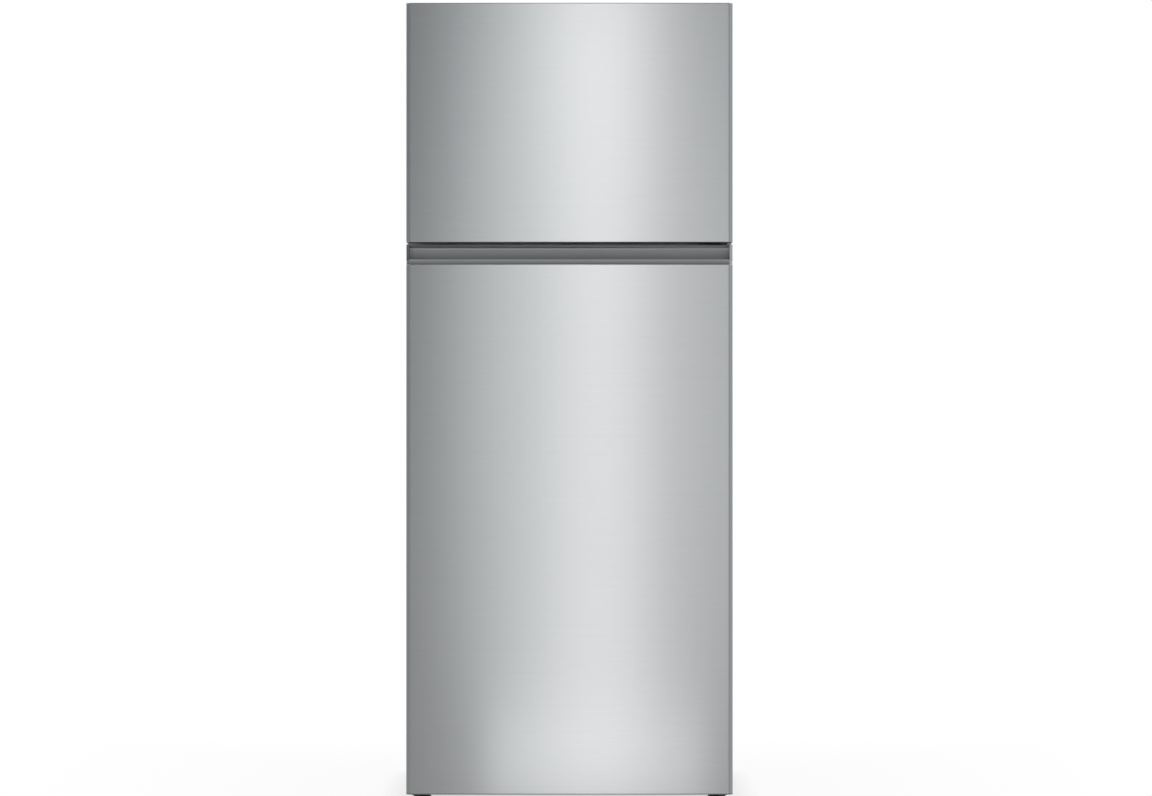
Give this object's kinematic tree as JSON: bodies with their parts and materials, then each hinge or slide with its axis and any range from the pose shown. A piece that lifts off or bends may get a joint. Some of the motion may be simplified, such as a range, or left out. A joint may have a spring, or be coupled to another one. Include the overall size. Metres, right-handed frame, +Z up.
{
  "type": "top freezer refrigerator",
  "caption": "Upright refrigerator with the freezer above, brushed steel doors hinged on the right, a recessed handle across the full width and a cold circuit at the back.",
  "frame": {"origin": "on the floor, under the middle of the appliance's bounding box", "axes": "+Z up, the longest extent; the doors face -Y, so +Y runs to the back and is the shortest extent; +X is to the right of someone facing the doors"},
  "size_m": [0.7, 0.69, 1.723],
  "materials": {
    "stainless": "horizontally brushed satin",
    "cabinet_paint": "satin textured silver grey paint",
    "galvanised": "galvanised satin",
    "black_metal": "satin black",
    "hinge_steel": "satin",
    "foam": "matte rigid foam",
    "white_liner": "gloss",
    "handle_plastic": "satin dark grey",
    "grey_plastic": "satin grey",
    "silver_plastic": "satin silver",
    "seal_rubber": "matte grey",
    "black_rubber": "matte",
    "clear_plastic": "clear gloss",
    "white_plastic": "satin",
    "glass": "clear toughened",
    "frosted_lens": "frosted",
    "aluminium": "satin",
    "copper": "drawn tube, satin",
    "compressor_black": "gloss black enamel",
    "black_plastic": "matte black"
  },
  "bodies": {
    "cabinet": {"cabinet_wrapper": "cabinet_paint", "cabinet_foam": "foam", "fridge_liner": "white_liner", "freezer_liner": "white_liner", "mullion_strip": "cabinet_paint", "base_frame": "galvanised", "back_panel": "galvanised", "top_hinge": "hinge_steel", "hinge_cover": "grey_plastic", "middle_hinge": "hinge_steel", "bottom_hinge": "black_metal", "hinge_screws": "hinge_steel", "base_brackets": "black_metal", "shelf_trims": "white_plastic", "crisper_frame": "white_plastic", "crisper_glass": "glass", "air_duct_cover": "white_plastic", "control_housing": "white_plastic", "lamp_lens": "frosted_lens", "evaporator_cover": "white_plastic", "evaporator": "aluminium", "defrost_heater": "hinge_steel", "fan_motor": "black_plastic", "freezer_shelf": "glass", "ice_maker_frame": "white_plastic", "compressor": "compressor_black", "compressor_grommets": "black_rubber", "refrigerant_tubes": "copper", "evaporation_tray": "black_plastic", "compressor_cover": "black_plastic", "cord_gland": "black_rubber", "shelves": "glass"},
    "freezer_door": {"freezer_door_skin": "stainless", "freezer_door_foam": "foam", "freezer_door_liner": "white_liner", "freezer_door_caps": "grey_plastic", "freezer_door_seal": "seal_rubber", "freezer_door_bins": "clear_plastic"},
    "fridge_door": {"fridge_door_skin": "stainless", "fridge_door_foam": "foam", "fridge_door_liner": "white_liner", "handle_trim": "handle_plastic", "handle_end_caps": "silver_plastic", "fridge_door_cap": "grey_plastic", "fridge_door_seal": "seal_rubber", "fridge_door_bins": "clear_plastic"},
    "dairy_lid": {"dairy_lid": "clear_plastic"},
    "fan": {"evaporator_fan": "white_plastic"},
    "temperature_knob": {"temperature_knob": "grey_plastic"},
    "airflow_slider": {"airflow_slider": "grey_plastic"},
    "humidity_slider": {"humidity_slider": "grey_plastic"},
    "ice_tray_left": {"ice_tray_left": "white_plastic"},
    "ice_tray_right": {"ice_tray_right": "white_plastic"},
    "ice_bin": {"ice_bin": "clear_plastic"},
    "crisper_left": {"crisper_left": "clear_plastic"},
    "crisper_right": {"crisper_right": "clear_plastic"},
    "foot_left": {"levelling_foot_left": "black_plastic"},
    "foot_right": {"levelling_foot_right": "black_plastic"},
    "roller_left": {"rear_roller_left": "grey_plastic"},
    "roller_right": {"rear_roller_right": "grey_plastic"}
  },
  "joints": [
    {"name": "freezer_door_hinge", "type": "hinge", "parent": "cabinet", "child": "freezer_door", "pos_m": [0.33, -0.305, 1.701], "axis": [0, 0, 1], "range_deg": [0, 110]},
    {"name": "fridge_door_hinge", "type": "hinge", "parent": "cabinet", "child": "fridge_door", "pos_m": [0.33, -0.305, 0.026], "axis": [0, 0, 1], "range_deg": [0, 110]},
    {"name": "dairy_lid_hinge", "type": "hinge", "parent": "fridge_door", "child": "dairy_lid", "pos_m": [0, -0.277, 1.002], "axis": [1, 0, 0], "range_deg": [0, 80]},
    {"name": "fan_spin", "type": "hinge", "parent": "cabinet", "child": "fan", "pos_m": [0, 0.221, 1.55], "axis": [0, 1, 0], "continuous": true},
    {"name": "temperature_dial", "type": "hinge", "parent": "cabinet", "child": "temperature_knob", "pos_m": [0, -0.215, 1.149], "axis": [0, 1, 0], "range_deg": [-135, 135]},
    {"name": "airflow_slide", "type": "slide", "parent": "cabinet", "child": "airflow_slider", "axis": [1, 0, 0], "range_m": [-0.0325, 0.0325]},
    {"name": "humidity_slide", "type": "slide", "parent": "cabinet", "child": "humidity_slider", "axis": [1, 0, 0], "range_m": [-0.0295, 0.0295]},
    {"name": "ice_twist_left", "type": "hinge", "parent": "cabinet", "child": "ice_tray_left", "pos_m": [-0.214, -0.15, 1.387], "axis": [0, 1, 0], "range_deg": [0, 140], "stiffness_Nm_per_rad": 0.2},
    {"name": "ice_twist_right", "type": "hinge", "parent": "cabinet", "child": "ice_tray_right", "pos_m": [-0.094, -0.15, 1.387], "axis": [0, 1, 0], "range_deg": [0, 140], "stiffness_Nm_per_rad": 0.2},
    {"name": "ice_bin_slide", "type": "slide", "parent": "cabinet", "child": "ice_bin", "axis": [0, -1, 0], "range_m": [0, 0.036]},
    {"name": "crisper_slide_left", "type": "slide", "parent": "cabinet", "child": "crisper_left", "axis": [0, -1, 0], "range_m": [0, 0.035]},
    {"name": "crisper_slide_right", "type": "slide", "parent": "cabinet", "child": "crisper_right", "axis": [0, -1, 0], "range_m": [0, 0.035]},
    {"name": "foot_screw_left", "type": "slide", "parent": "cabinet", "child": "foot_left", "axis": [0, 0, 1], "range_m": [-0.012, 0]},
    {"name": "foot_screw_right", "type": "slide", "parent": "cabinet", "child": "foot_right", "axis": [0, 0, 1], "range_m": [-0.012, 0]},
    {"name": "roller_spin_left", "type": "hinge", "parent": "cabinet", "child": "roller_left", "pos_m": [-0.3, 0.317, 0.018], "axis": [1, 0, 0], "continuous": true},
    {"name": "roller_spin_right", "type": "hinge", "parent": "cabinet", "child": "roller_right", "pos_m": [0.3, 0.317, 0.018], "axis": [1, 0, 0], "continuous": true}
  ]
}
